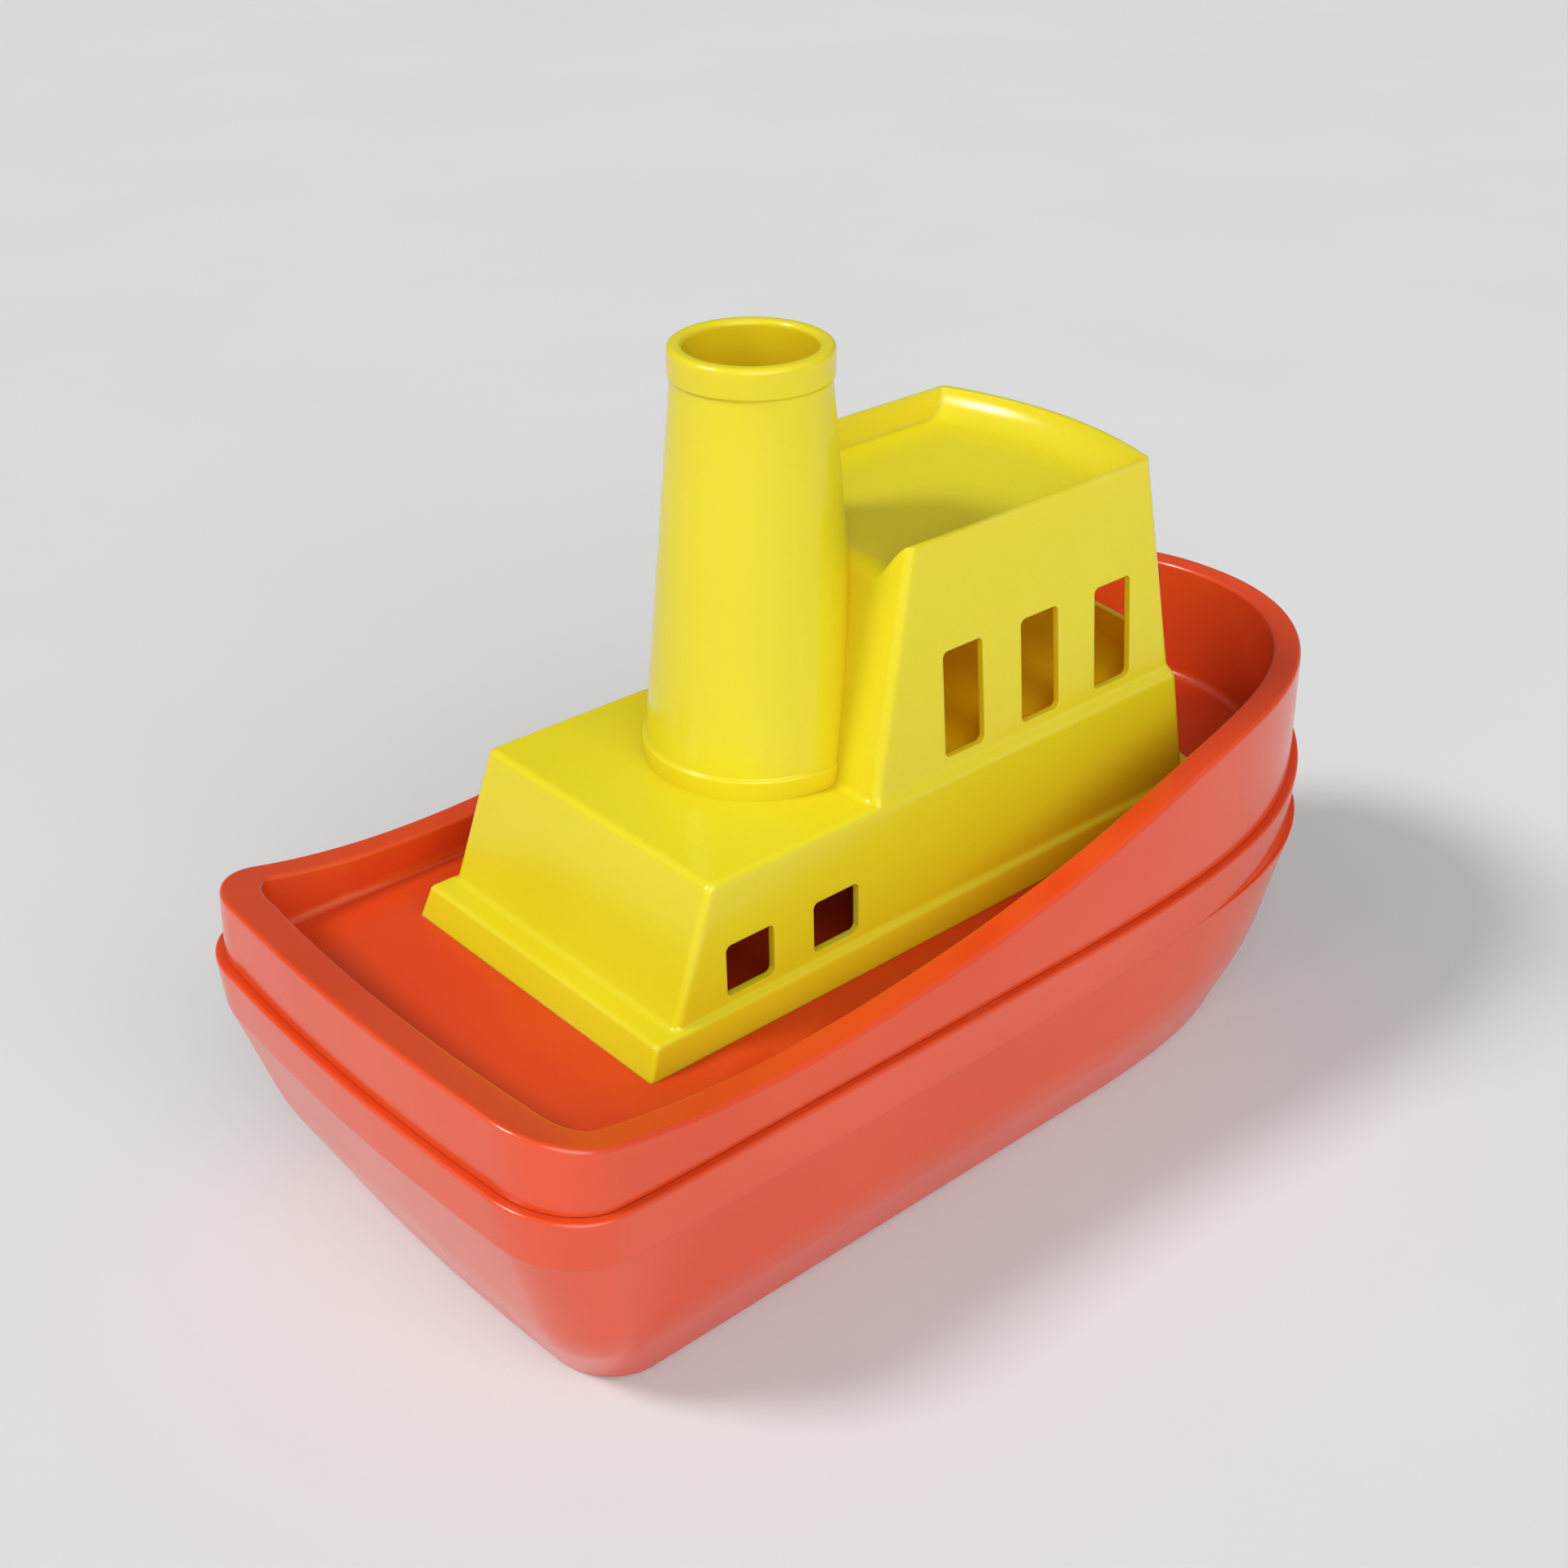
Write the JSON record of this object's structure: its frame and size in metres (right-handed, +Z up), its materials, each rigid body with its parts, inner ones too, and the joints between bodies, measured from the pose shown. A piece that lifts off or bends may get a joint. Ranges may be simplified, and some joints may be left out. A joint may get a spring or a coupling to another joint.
{
  "type": "toy boat",
  "caption": "Floating moulded-plastic toy boat: open-decked hull with a high bow, lift-off cabin block with windows and an open funnel.",
  "frame": {"origin": "middle of the boat's length and beam, on the flat of the hull bottom", "axes": "+X towards the bow, +Y to port, +Z up"},
  "size_m": [0.2636, 0.1326, 0.1814],
  "materials": {
    "red_plastic": "gloss",
    "yellow_plastic": "gloss",
    "seal_rubber": "matte",
    "plug_rubber": "satin",
    "screw_steel": "satin"
  },
  "bodies": {
    "hull": {"hull_shell": "red_plastic", "deck_moulding": "red_plastic", "hull_seal": "seal_rubber", "hull_screws": "screw_steel", "screw_plugs": "plug_rubber"},
    "cabin_top": {"superstructure": "yellow_plastic", "funnel": "yellow_plastic", "funnel_screws": "screw_steel"}
  },
  "joints": [
    {"name": "cabin_lift", "type": "slide", "parent": "hull", "child": "cabin_top", "axis": [0, 0, 1], "range_m": [0, 0.06]}
  ]
}
